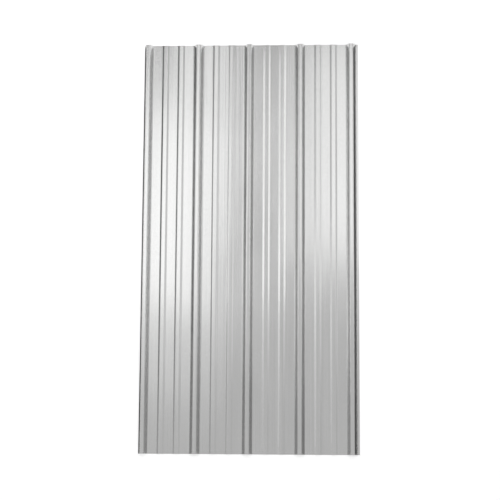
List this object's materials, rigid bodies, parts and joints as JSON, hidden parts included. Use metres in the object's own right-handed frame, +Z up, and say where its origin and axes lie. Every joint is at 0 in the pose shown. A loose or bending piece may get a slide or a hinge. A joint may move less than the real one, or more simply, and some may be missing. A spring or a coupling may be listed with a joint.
{
  "type": "corrugated metal sheet",
  "caption": "Long steel cladding sheet with tall trapezoidal ribs, shallow stiffening ribs in the pans between them, and edges shaped to lap with the next sheet.",
  "frame": {"origin": "centre of the sheet's footprint, on the plane the pans rest on", "axes": "+X across the ribs towards the edge with the bearing foot, +Y along the ribs, +Z up, the way the ribs stand"},
  "size_m": [0.9616, 1.8288, 0.0194],
  "materials": {
    "zinc_coated_steel": "satin"
  },
  "bodies": {
    "root": {"ribbed_sheet": "zinc_coated_steel"}
  },
  "joints": []
}
